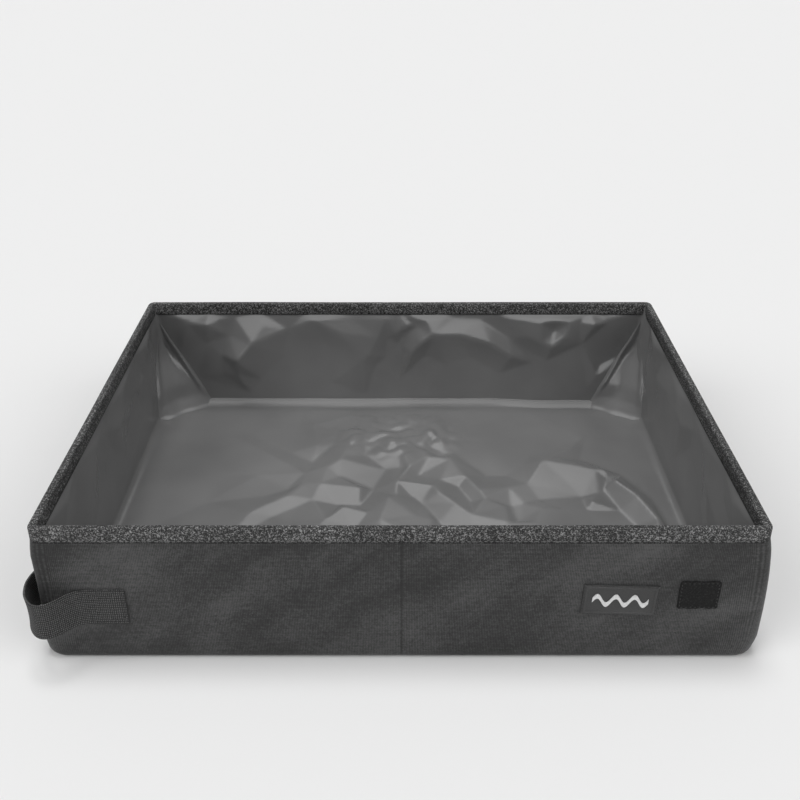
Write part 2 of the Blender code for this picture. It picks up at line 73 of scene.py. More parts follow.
# The room: a pale sheet of paper that runs on out of sight under the tray, pale light all
# round, one soft lamp above and two to the front. What shines shows the pale panels of the
# room: one overhead towards the back, and one in front.
white = (1, 1, 1, 1)
paper_tone = (0.82, 0.82, 0.82, 1)


def shade(owner, kind, inputs=None, out=0, **settings):
    """Adds one shader node, sets it, wires or fills its sockets, and gives one output."""
    made = owner.node_tree.nodes.new("ShaderNode" + kind)
    for key, value in settings.items():
        setattr(made, key, value)
    for key, value in (inputs or {}).items():
        if isinstance(value, bpy.types.NodeSocket):
            owner.node_tree.links.new(value, made.inputs[key])
        else:
            made.inputs[key].default_value = value
    return made.outputs[out]


def maths(owner, operation, *values):
    """One sum on values or sockets."""
    return shade(owner, "Math", dict(enumerate(values)), operation=operation)


def mapped(owner, value, low, high, to_low, to_high, how="SMOOTHSTEP"):
    """Turns the range from low to high of a value into another range."""
    sockets = ("Value", "From Min", "From Max", "To Min", "To Max")
    inputs = dict(zip(sockets, (value, low, high, to_low, to_high)))
    return shade(owner, "MapRange", inputs, interpolation_type=how)


world = bpy.data.worlds.new("room")
scene.world = world
world.use_nodes = True
room_light = world.node_tree.nodes["Background"]
room_light.inputs["Color"].default_value = white
room_light.inputs["Strength"].default_value = 0.27
seen_ray, through_ray, shine_ray = (
    shade(world, "LightPath", out=f"Is {way} Ray") for way in ("Camera", "Transmission", "Glossy")
)
way = shade(world, "TexCoord", out="Generated")
way_x, way_y, way_z = (shade(world, "SeparateXYZ", {0: way}, axis) for axis in "XYZ")
way_aside = maths(world, "ABSOLUTE", way_x)
way_up = maths(world, "MULTIPLY_ADD", way_aside, -0.6, way_z)
overhead = mapped(world, way_up, 0.50, 0.72, 0.22, 2.45)
in_front = mapped(world, maths(world, "ADD", way_y, way_aside), -0.35, -0.7, 0.0, 2.8)
room_seen = shade(world, "Background", {"Color": paper_tone})
room_shine = shade(
    world, "Background", {"Color": white, "Strength": maths(world, "MAXIMUM", overhead, in_front)}
)
straight_ray = maths(world, "MAXIMUM", seen_ray, through_ray)
room_plain = shade(world, "MixShader", {0: straight_ray, 1: room_light.outputs[0], 2: room_seen})
room_whole = shade(world, "MixShader", {0: shine_ray, 1: room_plain, 2: room_shine})
world.node_tree.links.new(room_whole, world.node_tree.nodes["World Output"].inputs["Surface"])


def new_finish(name, roughness, specular):
    """A finish that still has no tone."""
    material = bpy.data.materials.new(name)
    material.use_nodes = True
    shader = material.node_tree.nodes["Principled BSDF"]
    shader.inputs["Roughness"].default_value = roughness
    shader.inputs["Specular IOR Level"].default_value = specular
    return material


def add_piece(name, shape, material, thick=None, bend=None):
    """Keeps a shape as a piece of the tray, smooth except along its cut edges."""
    for vert in shape.verts if bend else ():
        vert.co = bend(vert.co)
    for face in shape.faces:
        face.smooth = True
    for edge in shape.edges:
        if edge.is_boundary:
            edge.smooth = False
    data = bpy.data.meshes.new(name)
    shape.to_mesh(data)
    shape.free()
    data.materials.append(material)
    piece = bpy.data.objects.new(name, data)
    scene.collection.objects.link(piece)
    if thick:
        wall = piece.modifiers.new("thickness", "SOLIDIFY")
        wall.thickness = thick
        wall.offset = -1
    return piece


paper_mesh = bmesh.new()
bmesh.ops.create_grid(paper_mesh, x_segments=2, y_segments=2, size=6)
paper_finish = new_finish("paper", 1.0, 0.0)
paper_shader = paper_finish.node_tree.nodes["Principled BSDF"]
paper_shader.inputs["Base Color"].default_value = paper_tone
add_piece("paper", paper_mesh, paper_finish)

for lamp_name, place, spread, power in (
    ("lamp_above", (-0.10, 0.23, 2.0), 22, 1.27),
    ("lamp_front_left", (-1.8, -1.2, 1.6), 40, 1.15),
    ("lamp_front_right", (1.8, -1.2, 1.6), 40, 0.86),
):
    lamp_data = bpy.data.lights.new(lamp_name, "SUN")
    lamp_data.angle = math.radians(spread)
    lamp_data.energy = power
    lamp = bpy.data.objects.new(lamp_name, lamp_data)
    lamp.location = place
    lamp.rotation_euler = (-Vector(place)).to_track_quat("-Z", "Y").to_euler()
    lamp.visible_glossy = False
    scene.collection.objects.link(lamp)

# The outer cloth: one coated oxford weave, sewn as a box without a lid round the boards. Its
# four corners hold no board, so they bow out below the rim and are rounder at the foot.
crease_x = 0.001
corner_fold_y = 0.1559
fold_low_z = 0.0054
cloth_half_width = 0.21
cloth_half_depth = 0.16
cloth_top_z = 0.0961
cloth_foot = 0.0045
cloth_thick = 0.0006
cloth_step = 0.005
cloth_under_tape = (0.0890, 0.0845)
corner_at_foot = 0.009
corner_at_rim = 0.0045
left_bow_by_height = (
    (0.0, 0.0015), (0.005, 0.0048), (0.0135, 0.0058), (0.0345, 0.0034), (0.055, 0.0025),
    (0.0755, 0.0024), (0.088, 0.0009), (0.097, 0.0),
)
right_bow_by_height = (
    (0.0, 0.0020), (0.005, 0.0050), (0.0135, 0.0071), (0.0345, 0.0067), (0.049, 0.0060),
    (0.062, 0.0050), (0.0755, 0.0034), (0.088, 0.0014), (0.097, 0.0),
)
slack_from_y, slack_from_x = (0.112, 0.150), (0.185, 0.21)
ripple_high = 0.0005
stands_off_board = 0.0003
crease_wide = 0.003
hairline = 1e-5


def block(size, middle):
    """A plain box, to be worked on."""
    shape = bmesh.new()
    bmesh.ops.create_cube(shape, size=1)
    bmesh.ops.scale(shape, vec=size, verts=shape.verts)
    bmesh.ops.translate(shape, vec=middle, verts=shape.verts)
    return shape


def round_edges(shape, edges, offset, steps):
    """Rounds edges off, so far in from each and in so many steps."""
    bmesh.ops.bevel(
        shape, geom=edges, offset=offset, offset_type="OFFSET", affect="EDGES",
        segments=steps, profile=0.5, material=-1, clamp_overlap=True,
    )


def open_box(half_width, half_depth, low_z, high_z, corner, corner_steps, foot, foot_steps):
    """A box without a lid, its upright edges and its foot rounded."""
    size = (2 * half_width, 2 * half_depth, high_z - low_z)
    shape = block(size, (0, 0, (low_z + high_z) / 2))
    lid = [face for face in shape.faces if face.normal.z > 0.9]
    bmesh.ops.delete(shape, geom=lid, context="FACES")
    upright = [e for e in shape.edges if abs(e.verts[0].co.z - e.verts[1].co.z) > 0.01]
    round_edges(shape, upright, corner, corner_steps)
    lowest = [e for e in shape.edges if max(v.co.z for v in e.verts) < low_z + hairline]
    round_edges(shape, lowest, foot, foot_steps)
    return shape


def slice_at(shape, place, normal, near, clear):
    """Cuts a row of edges across the shape, and clears what lies behind it if asked."""
    bmesh.ops.bisect_plane(
        shape, geom=shape.verts[:] + shape.edges[:] + shape.faces[:], dist=near,
        plane_co=place, plane_no=normal, clear_inner=clear,
    )


def slice_evenly(shape, step, low, high, axis):
    """Cuts rows of edges across the shape, so that it can bend."""
    count = int(round((high - low) / step))
    for index in range(1, count):
        place, normal = Vector(), Vector()
        place[axis], normal[axis] = low + (high - low) * index / count, 1
        slice_at(shape, place, normal, 1e-6, False)


cloth = open_box(
    cloth_half_width, cloth_half_depth, 0.0, cloth_top_z, corner_at_foot, 8, cloth_foot, 4
)
straight_x = cloth_half_width - corner_at_foot
straight_y = cloth_half_depth - corner_at_foot
slice_evenly(cloth, cloth_step, -straight_x, straight_x, 0)
slice_evenly(cloth, cloth_step, -straight_y, straight_y, 1)
slice_evenly(cloth, cloth_step, cloth_foot, cloth_top_z, 2)
cloth_weave_map = cloth.loops.layers.uv.new("weave")
for face in cloth.faces:
    face.normal_update()
    lengthwise, upright = (0, 2) if abs(face.normal.y) > abs(face.normal.x) else (1, 2)
    if abs(face.normal.z) > 0.75:
        lengthwise, upright = 0, 1
    for loop in face.loops:
        loop[cloth_weave_map].uv = (loop.vert.co[lengthwise], loop.vert.co[upright])


def read_curve(pairs, at):
    """The height of a line of joined points at one place along it."""
    for (near, low), (far, high) in zip(pairs, pairs[1:]):
        if at <= far:
            share = max(0.0, (at - near) / (far - near))
            return low + (high - low) * share
    return pairs[-1][1]


def smooth_rise(start, end, at):
    """Goes from 0 at the start to 1 at the end, easing in and out."""
    share = min(1.0, max(0.0, (at - start) / (end - start)))
    return share * share * (3 - 2 * share)


def corner_bow(x, z):
    """How far a corner bows out at one height, on the left or on the right."""
    return read_curve(right_bow_by_height if x > 0 else left_bow_by_height, z)


def shape_cloth(place):
    """Where one point of the flat-sided cloth box lies on the sewn tray."""
    x, y, z = place
    over_x = abs(x) - straight_x
    over_y = abs(y) - straight_y
    if over_x > 0 and over_y > 0 and z > cloth_foot:
        low = max(0.0, (cloth_top_z - z) / (cloth_top_z - cloth_foot)) ** 1.5
        radius = corner_at_rim + (corner_at_foot - corner_at_rim) * low
        x = math.copysign(cloth_half_width + (over_x / corner_at_foot - 1) * radius, x)
        y = math.copysign(cloth_half_depth + (over_y / corner_at_foot - 1) * radius, y)
    slack = smooth_rise(*slack_from_y, abs(y)) * smooth_rise(*slack_from_x, abs(x))
    bow = slack * corner_bow(x, z) * smooth_rise(*cloth_under_tape, z)
    wave = noise.noise(Vector((x * 9, y * 9, z * 14))) * 0.5 + 0.5
    ripple = ripple_high * wave * smooth_rise(0.004, 0.02, z) * smooth_rise(0.097, 0.085, z)
    on_end = smooth_rise(0.205, 0.2095, abs(x))
    on_long = smooth_rise(0.155, 0.1595, abs(y))
    off_crease = smooth_rise(0.0, crease_wide, abs(x - crease_x))
    x += math.copysign(bow + ripple * on_end, x)
    y += math.copysign((ripple + stands_off_board) * on_long * off_crease, y)
    return x, y, z


# Where cloth and film are parted: beside the folds, and on a slant through each corner.
ends = (("left", -1), ("right", 1))
long_walls = (("front", -1), ("back", 1))
slant = math.sqrt(0.5)
slant_reach = corner_fold_y + fold_low_z
base_cut_z = 0.010
base_cut_x = 0.198
corner_cut_x = 0.2056
under_walls_x = 0.108
loose_from_z = 0.023


def trimmed(shape, planes):
    """A copy of the shape cut back to the side of each plane that its normal points to."""
    part = shape.copy()
    for place, normal in planes:
        slice_at(part, place, normal, 1e-7, True)
    return part


def flatten(piece):
    """Gives a loose sheet its own copy of its mesh."""
    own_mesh(piece)


def half_wall(s, f):
    """The cuts round one half of a long wall: the crease, the corner and the floor's middle."""
    return [
        ((crease_x, 0, 0), (s, 0, 0)),
        ((s * corner_cut_x, 0, 0), (-s, 0, 0)),
        ((0, f * 0.1, 0), (0, f, 0)),
    ]


def sew_in_panels(shape, name, part, material, thick, bend):
    """Parts a box of cloth or film at the folds, shapes each panel with bend, fixes some panels to
    their bodies and hides the solids they replace.
    """
    made = {}

    def cut(label, *planes):
        """Cuts one panel out of the box and keeps it."""
        piece = add_piece(f"{name}_{label}", trimmed(shape, planes), material, thick, bend)
        made[piece.name] = piece
        return piece

    loose = part == "liner"
    floor_reach = under_walls_x if loose else base_cut_x
    on_base = ((0, 0, base_cut_z), (0, 0, -1))
    off_base = ((0, 0, base_cut_z), (0, 0, 1))
    at_foot = ((0, 0, loose_from_z), (0, 0, -1))
    above_foot = ((0, 0, loose_from_z), (0, 0, 1))
    floor = cut("floor", *(((s * floor_reach, 0, 0), (-s, 0, 0)) for side, s in ends), on_base)
    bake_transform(floor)
    floor_nodes = {"cover": "base_cover_", "liner": "floor_liner_"}[part]
    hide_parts(floor_nodes + "left", floor_nodes + "right")
    corner_part = {"cover": "cloth", "liner": "film"}[part]
    for side, s in ends:
        base, end_body = "base_" + side, f"end_{side}_wall"
        beyond_base = ((s * base_cut_x, 0, 0), (s, 0, 0))
        end_planes = [beyond_base]
        end_planes += [((0, f * slant_reach, 0), (0, -f * slant, -slant)) for face, f in long_walls]
        if loose:
            under = cut(
                f"floor_{side}", ((s * floor_reach, 0, 0), (s, 0, 0)),
                ((s * base_cut_x, 0, 0), (-s, 0, 0)), on_base,
            )
            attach(under, base)
            flatten(under)
            end_face = cut(f"end_{side}_face", *end_planes, above_foot)
            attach(end_face, end_body)
            flatten(end_face)
            end_planes.append(at_foot)
        end = cut(f"end_{side}", *end_planes)
        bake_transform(end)
        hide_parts(f"end_{side}_{part}")
        for face, f in long_walls:
            beyond = ((0, f * slant_reach, 0), (0, f * slant, slant))
            foot = cut(f"foot_{face}_{side}", beyond, beyond_base, on_base)
            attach(foot, base)
            corner = cut(
                f"corner_{face}_{side}", beyond, ((s * corner_cut_x, 0, 0), (s, 0, 0)), off_base
            )
            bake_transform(corner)
            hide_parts(f"corner_{face}_{side}_{corner_part}")
            wall_planes = [*half_wall(s, f), off_base]
            if loose:
                wall_face = cut(f"{face}_{side}_face", *wall_planes, above_foot)
                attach(wall_face, f"{face}_{side}_wall")
                flatten(wall_face)
                wall_planes.append(at_foot)
            wall = cut(f"{face}_{side}", *wall_planes)
            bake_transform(wall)
            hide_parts(f"{face}_{side}_{part}")
    return made


def cloudy(owner, place, scale, detail, roughness=0.5):
    """Soft noise, laid out by the given coordinates."""
    inputs = {"Vector": place, "Scale": scale, "Detail": detail, "Roughness": roughness}
    return shade(owner, "TexNoise", inputs, "Fac")


def thread_bands(owner, lay, scale, wander, wander_scale, axis):
    """Bands across one axis, one to a thread, that wander a little."""
    inputs = {"Vector": lay, "Scale": scale, "Distortion": wander, "Detail": 1.0,
              "Detail Scale": wander_scale}
    return shade(owner, "TexWave", inputs, "Fac", wave_type="BANDS", bands_direction=axis)


def colour_ramp(owner, value, stops):
    """A grey that goes from stop to stop as the value rises."""
    tone_out = shade(owner, "ValToRGB", {"Fac": value})
    bar = tone_out.node.color_ramp
    while len(bar.elements) < len(stops):
        bar.elements.new(0.5)
    for element, (at, tone) in zip(bar.elements, stops):
        element.position = at
        element.color = (tone, tone, tone, 1)
    return tone_out


def place_of(material):
    """The coordinates that a finish's grain is laid out by."""
    return shade(material, "TexCoord", out="Object")


def dress(material, tone, height=None, strength=0, distance=0):
    """Gives a finish its tone and, where it has a height, its fine relief."""
    shader = material.node_tree.nodes["Principled BSDF"]
    material.node_tree.links.new(tone, shader.inputs["Base Color"])
    if height is not None:
        relief = {"Height": height, "Strength": strength, "Distance": distance}
        material.node_tree.links.new(shade(material, "Bump", relief), shader.inputs["Normal"])
    return shader


def weave_cloth():
    """The cloth's finish: a coated weave, uneven in tone, with painted sheen in slanting lighter
    bands and painted shade along the cross crease.
    """
    oxford = new_finish("coated_cloth", 0.62, 0.35)
    place, lay = place_of(oxford), shade(oxford, "UVMap", uv_map="weave")
    threads = (thread_bands(oxford, lay, 330.0, 1.4, 3.0, axis) for axis in "XY")
    weave = maths(oxford, "ADD", *threads)
    # Painted sheen: a slanted, stretched noise lightens the cloth in broad diagonal bands, as well
    # as making its tone uneven.
    turned = {"Vector": place, "Location": (0.31, 0.0, 0.05), "Rotation": (0, -0.65, 0),
              "Scale": (2.8, 1.0, 1.0)}
    turned = shade(oxford, "Mapping", turned, vector_type="TEXTURE")
    painted_sheen_bands = cloudy(oxford, turned, 26.0, 3.0, 0.55)
    streaks = shade(oxford, "Mapping", {"Vector": lay, "Scale": (60.0, 900.0, 1.0)})
    slub = cloudy(oxford, streaks, 1.0, 2.0)
    speck = cloudy(oxford, place, 620.0, 2.0, 0.7)
    mixed = maths(oxford, "MULTIPLY_ADD", weave, 0.22, painted_sheen_bands)
    mixed = maths(oxford, "MULTIPLY_ADD", slub, 0.22, mixed)
    mixed = maths(oxford, "MULTIPLY_ADD", speck, 0.55, mixed)
    # Painted shade: the tone darkens within a millimetre of the cross crease, where shade falls in
    # its groove.
    across = shade(oxford, "SeparateXYZ", {"Vector": place}, "X")
    from_crease = maths(oxford, "ABSOLUTE", maths(oxford, "SUBTRACT", across, crease_x))
    shade_and_mottle = mapped(oxford, from_crease, 0.0003, 0.0011, -0.12, 0.0)
    mixed = maths(oxford, "MULTIPLY_ADD", mixed, 0.7, shade_and_mottle)
    tone = colour_ramp(oxford, mixed, ((0.55, 0.0100), (0.75, 0.023), (0.95, 0.082)))
    shader = dress(oxford, tone, weave, 0.35, 0.0002)
    shader.inputs["Sheen Weight"].default_value = 0.15
    shader.inputs["Sheen Roughness"].default_value = 0.4
    return oxford


def declare_sheet(piece):
    """Works out the spans of a sheet along its three axes, and does nothing more with them."""
    along_axes = ([vert.co[axis] for vert in piece.data.vertices] for axis in range(3))
    spans = sorted(max(places) - min(places) for places in along_axes)


cloth_pieces = sew_in_panels(cloth, "cloth", "cover", weave_cloth(), cloth_thick, shape_cloth)
cloth.free()
both_boards = ["board_base_left", "board_base_right"]
cloth_feet = [piece for name, piece in cloth_pieces.items() if "_foot_" in name]
declare_sheet(cloth_pieces["cloth_floor"])
for name, piece in cloth_pieces.items():
    if name == "cloth_floor" or piece in cloth_feet:
        continue
    if "_corner_" in name:
        declare_sheet(piece)
    else:
        declare_sheet(piece)

# The liner: one thin satin film laid over the floor and up the walls, caught under the rim
# tape. It is larger than the tray, so it lies in creases and stands off the corners.
film_half_width = 0.2068
film_half_depth = 0.1568
film_floor_z = 0.0047
film_foot = 0.004
film_corner = 0.003
film_step = 0.0019
film_step_up = 0.0021
film_thick = 0.0003
film_under_tape = (0.0872, 0.0848)
# The floor's folds: points of the film in millimetres, across, back and up. The film lies in
# flat facets between them, with a crease where two facets meet.
floor_folds = (
    (-205, -155, 0), (-205, 0, 0), (-205, 155, 0), (-199, 98, 0), (-185, -70, 0), (-176, 33, 0),
    (-173, -28, 0), (-170, -135, 0), (-164, 114, 0), (-162, 72, 0), (-150, -95, 0.5),
    (-144, -3, 0), (-138, 92, 1.5), (-137, 33, 0), (-137, 126, 0.3), (-125, -60, 2.5),
    (-125, 98, 0.3), (-111, 33, 1), (-110, -130, 1.5), (-110, -18, 2), (-110, 137, 0),
    (-101, 59, 2.5), (-100, 5, 0.5), (-99, -7, 1.5), (-95, -75, 0.5), (-93, -20, 0),
    (-89, 67, 0.2), (-85, 3, 2.5), (-85, 109, 1), (-84, 14, 1), (-82, 143, 0), (-80, -28, 0.5),
    (-74, -7, 1), (-74, 19, 3), (-73, 33, 3), (-71, 106, 3), (-70, -60, 3), (-69, 52, 0),
    (-67, 77, 2), (-65, -3, 2.5), (-60, -100, 1), (-60, 17, 4), (-58, 103, 1), (-56, 42, 4),
    (-55, 77, 0.5), (-54, -28, 3), (-53, 143, 0.5), (-51, 98, 1), (-50, -138, 0), (-47, 28, 3),
    (-47, 52, 4.5), (-45, -7, 0.5), (-42, -12, 3.5), (-41, 123, 2.5), (-40, 72, 4),
    (-40, 98, 3.5), (-35, -75, 4), (-35, 109, 0.5), (-32, -36, 0), (-30, -7, 0), (-30, 10, 4.5),
    (-28, 62, 1), (-28, 92, 3), (-26, 114, 3), (-24, 146, 0), (-23, -20, 3), (-21, 14, 0),
    (-18, 103, 1), (-18, 126, 0.5), (-15, -100, 1.5), (-15, -32, 5), (-11, 42, 0.5), (-9, 92, 3),
    (-8, -3, 5), (-5, -70, 0.5), (-4, 98, 0.5), (-3, 1, 4), (-2, 19, 5), (-1, 117, 2), (0, 62, 4),
    (2, 42, 2), (4, 82, 3), (7, 40, 5), (9, 5, 0.5), (10, -130, 2), (10, 109, 0.5),
    (11, -24, 3.5), (14, 33, 1), (15, 92, 1.5), (16, -3, 0), (19, 143, 0.5), (20, -60, 4),
    (21, 114, 2), (23, -28, 3), (23, 57, 3.5), (24, 14, 4), (24, 92, 2), (24, 93, 3.4),
    (28, -28, 0.5), (29, 5, 4.5), (31, 23, 3), (31, 62, 0), (33, 126, 1.5), (38, 57, 3),
    (40, -95, 2.5), (40, 52, 3.8), (41, -10, 4.5), (44, 19, 0.3), (44, 67, 0.2), (50, 28, 3.2),
    (52, -24, 4.5), (53, -3, 0.5), (55, -60, 0.5), (59, 9, 3.8), (62, 143, 0), (63, -3, 4),
    (66, 33, 0), (70, -138, 0), (77, -10, 2), (78, -32, 4), (80, -75, 4), (81, 33, 0),
    (82, -7, 0), (82, 14, 2.5), (85, -28, 0.5), (92, -4, 0.8), (97, -32, 4), (97, 20, 1.5),
    (97, 50, 0.4), (104, -14, 3.2), (104, 1, 0), (104, 62, 0.5), (105, -105, 2), (105, 48, 2.6),
    (105, 140, 0), (110, -60, 4), (112, 49, 4.4), (119, -14, 2), (119, 54, 4.2), (124, 74, 0.5),
    (130, -132, 1), (136, 68, 2.6), (137, 5, 0), (138, -12, 0.5), (140, -55, 0.5), (142, -6, 3),
    (142, 55, 0.8), (148, 137, 0), (149, 90, 1.5), (150, -90, 3), (150, 10, 0.3), (152, 36, 4.4),
    (153, 90, 1.2), (155, 14, 0), (157, 34, 4.8), (160, 27, 1), (162, -12, 0), (163, 19, 6),
    (170, -32, 0), (171, 33, 0.5), (172, -60, 4.5), (176, -3, 6.5), (180, -110, 0.5),
    (181, 131, 0), (185, -32, 6), (186, 5, 0.5), (205, -155, 0), (205, -90, 0), (205, 60, 0),
    (205, 155, 0),
)
# A long wall's folds: points along its length, up and out from the board.
wall_folds = (
    (-140, 84, 0.3), (-146, 68, 0.8), (-153, 50, 2), (-154, 33, 1.6), (-116, 80, 2),
    (-126, 63, 5.4), (-139, 49, 7.2), (-140, 34, 3.4), (-95, 74, 1.2), (-100, 50, 1.4),
    (-120, 28, 1.2), (-165, 60, 0.4), (-176, 30, 0.4), (-192, 82, 0.3), (-180, 80, 1.6),
    (-163, 79, 3), (-155, 82, 1), (-74, 82, 1.6), (-51, 70, 2.6), (-32, 47, 3.4),
    (-21, 40, 1.2), (-41, 83, 0.6), (-12, 82, 0.8), (-19, 67, 2.4), (-27, 52, 3.6),
    (-60, 55, 1.2), (-10, 66, 0.4), (-12, 48, 0.8), (-4, 71, 1.8), (8, 78, 1.8), (6, 70, 0.4),
    (24, 81, 2.2), (28, 71, 4.2), (18, 63, 4.2), (9, 54, 3.6), (3, 53, 0.9), (0, 60, 0.3),
    (13, 77, 0.5), (22, 50, 1.5), (49, 71, 3.8), (75, 63, 4.4), (95, 51, 4), (114, 43, 1),
    (45, 83, 0.5), (69, 82, 0.6), (80, 75, 1), (95, 65, 1.2), (108, 53, 0.8), (60, 48, 1.6),
    (85, 33, 1.2), (38, 42, 1.6), (119, 81, 2.8), (130, 83, 2.6), (143, 80, 2.6), (131, 73, 0.6),
    (109, 69, 3), (120, 63, 3.8), (129, 59, 3.8), (140, 69, 3.4), (151, 80, 1.5), (125, 45, 1.4),
    (155, 60, 1), (164, 79, 3), (176, 81, 1), (192, 82, 0.3), (162, 22, 1.4), (169, 33, 2.4),
    (172, 40, 0.6), (-60, 25, 0.8), (0, 28, 1), (50, 22, 0.6), (-130, 14, 0.3), (-90, 12, 0.6),
    (-30, 13, 0.2), (20, 12, 0.7), (80, 12, 0.3), (120, 14, 0.8), (150, 12, 0.4), (190, 50, 0.3),
    (-190, 50, 0.3), (-207, 0, 0), (-100, 0, 0), (0, 0, 0), (100, 0, 0), (207, 0, 0),
    (-207, 88.5, 0), (-160, 88.5, 0), (-120, 88.5, 0), (-80, 88.5, 0), (-40, 88.5, 0),
    (0, 88.5, 0), (40, 88.5, 0), (80, 88.5, 0), (120, 88.5, 0), (160, 88.5, 0), (207, 88.5, 0),
    (-207, 97, 0), (207, 97, 0), (-207, 45, 0), (207, 45, 0),
)
# Each end wall's folds: points along its depth, up and out from the board.
end_folds = (
    (130, 82, 0.6), (110, 80, 2.4), (95, 60, 1), (120, 55, 1.6), (70, 82, 0.8), (60, 66, 2.8),
    (30, 80, 2.2), (26, 70, 3.2), (8, 66, 3.2), (-14, 75, 1.2), (-10, 58, 0.6), (40, 50, 0.8),
    (20, 30, 0.4), (80, 30, 0.9), (-40, 80, 2), (-60, 60, 2.6), (-50, 40, 0.5), (-90, 70, 0.6),
    (-110, 80, 2.2), (-100, 45, 1.4), (-120, 55, 0.8), (-80, 20, 0.5), (0, 12, 0.3), (100, 14, 0.3),
    (-157, 0, 0), (157, 0, 0), (-157, 97, 0), (157, 97, 0), (-157, 88.5, 0), (-80, 88.5, 0),
    (0, 88.5, 0), (80, 88.5, 0), (157, 88.5, 0), (-157, 45, 0), (157, 45, 0),
)


def lay_net(folds):
    """Joins a sheet's fold points into flat facets."""
    flat = [Vector((across / 1000, up / 1000)) for across, up, out in folds]
    net = geometry.delaunay_2d_cdt(flat, [], [], 0, 1e-7)
    raised = [Vector((at.x, at.y, folds[of[0]][2] / 1000)) for at, of in zip(net[0], net[3])]
    return BVHTree.FromPolygons(raised, net[2])


floor_net, wall_net, end_net = lay_net(floor_folds), lay_net(wall_folds), lay_net(end_folds)


def net_height(net, across, up, soft):
    """How far a sheet stands out at one place, its creases a little rounded."""
    total = 0.0
    for aside, above in ((0, 0), (soft, soft / 2), (-soft, -soft / 2), (-soft / 2, soft)):
        hit = net.ray_cast(Vector((across + aside, up + above, 1)), Vector((0, 0, -1)))[0]
        total += hit.z if hit else 0.0
    return total / 4


film = open_box(
    film_half_width, film_half_depth, film_floor_z, cloth_top_z, film_corner, 3, film_foot, 4
)
slice_evenly(film, film_step, -0.2028, 0.2028, 0)
slice_evenly(film, film_step, -0.1528, 0.1528, 1)
slice_evenly(film, film_step_up, film_floor_z + film_foot, cloth_top_z, 2)

floor_folds_by, wall_folds_by, end_folds_by = 1.15, 1.6, 1.3
middle_rumple, middle_rumple_y = 0.0035, 0.095
foot_off_wall, foot_off_end = 0.0075, 0.0015
foot_strip, foot_strip_end = 0.0105, 0.006


def shape_film(place):
    """Where one point of the flat-sided film box lies in the tray."""
    x, y, z = place
    on_floor = smooth_rise(0.0085, 0.0055, z)
    on_long = smooth_rise(0.1535, 0.1565, abs(y))
    on_end = smooth_rise(0.2035, 0.2065, abs(x))
    front_or_back = math.copysign(1, y)
    from_long, from_end = film_half_depth - abs(y), film_half_width - abs(x)
    # The foot of each long wall stands off in a wave, more so at one end.
    foot_wave = noise.noise(Vector((x * 14, 8.0 * front_or_back, 0.0)))
    stand_off = foot_off_wall + 0.0020 * foot_wave
    stand_off += 0.0050 * smooth_rise(0.070, 0.125, x * front_or_back)
    push_y = stand_off * max(0.0, 1 - z / 0.060) ** 1.5 * max(0.0, 1 - from_long / 0.035) ** 2
    push_y *= smooth_rise(0.0, 0.012, from_end)
    push_x = foot_off_end * max(0.0, 1 - from_end / 0.02) ** 2 * smooth_rise(0.05, 0.0, z)
    push_x *= smooth_rise(0.0, 0.012, from_long)
    lift = 0.0
    if on_floor > 0:
        drift = noise.noise(Vector((x * 16, y * 16, 2.0))) * 0.5 + 0.5
        small = abs(noise.noise(Vector((x * 70, y * 70, 5.0))))
        small *= smooth_rise(0.075, 0.02, math.hypot(x, (y - middle_rumple_y) * 1.5))
        edge = smooth_rise(0.004, 0.022, from_end) * smooth_rise(0.006, 0.022, from_long)
        folds = floor_folds_by * net_height(floor_net, x, y, 0.0006)
        lift = edge * (folds + middle_rumple * small + 0.0008 * drift)
        strip = foot_strip + 0.0045 * foot_wave
        lift += 0.36 * max(0.0, strip - from_long) * smooth_rise(0.0, 0.03, from_end)
        lift += 0.20 * max(0.0, foot_strip_end + 0.003 * foot_wave - from_end)
        lift *= on_floor
    below_tape = smooth_rise(*film_under_tape, z)
    if on_long > 0:
        folds = net_height(wall_net, x * front_or_back, z, 0.0008)
        push_y += wall_folds_by * on_long * below_tape * folds
    if on_end > 0:
        push_x += end_folds_by * on_end * below_tape * net_height(end_net, y, z, 0.0010)
        bow = corner_bow(x, z)
        push_x -= 0.7 * on_end * bow * smooth_rise(0.125, 0.155, abs(y)) * smooth_rise(0.0, 0.01, z)
    return x - math.copysign(push_x, x), y - math.copysign(push_y, y), z + lift


bmesh.ops.reverse_faces(film, faces=film.faces)

satin = new_finish("liner_film", 0.3, 0.5)
satin_place = place_of(satin)
satin_cloud = cloudy(satin, satin_place, 16.0, 2.0)
satin_tone = colour_ramp(satin, satin_cloud, ((0.1, 0.130), (0.9, 0.186)))
satin_grain = cloudy(satin, satin_place, 260.0, 3.0)
satin_shader = dress(satin, satin_tone, satin_grain, 0.12, 0.0004)
satin_rough = mapped(satin, satin_cloud, 0.0, 1.0, 0.20, 0.262, "LINEAR")
satin.node_tree.links.new(satin_rough, satin_shader.inputs["Roughness"])

film_pieces = sew_in_panels(film, "film", "liner", satin, film_thick, shape_film)
film.free()


def declare_film(label, held, rests_on, *sewn_on):
    """Looks up one panel of the film and the ones named with it, and works out the panel's spans;
    how it is held is not used.
    """
    panel, *others = (film_pieces["film_" + name] for name in (label, *sewn_on))
    declare_sheet(panel)


for side, s in ends:
    feet = (f"foot_{face}_{side}" for face, f in long_walls)
    declare_film("floor_" + side, "laid", ["board_base_" + side], *feet)
    declare_film(f"end_{side}_face", "hung", ["tape_end_" + side], "end_" + side)
    for face, f in long_walls:
        wall = f"{face}_{side}"
        declare_film(wall + "_face", "hung", ["tape_" + wall], wall)
        declare_film("corner_" + wall, "hung", ["tape_corner_" + wall])
declare_film("floor", "laid", both_boards)

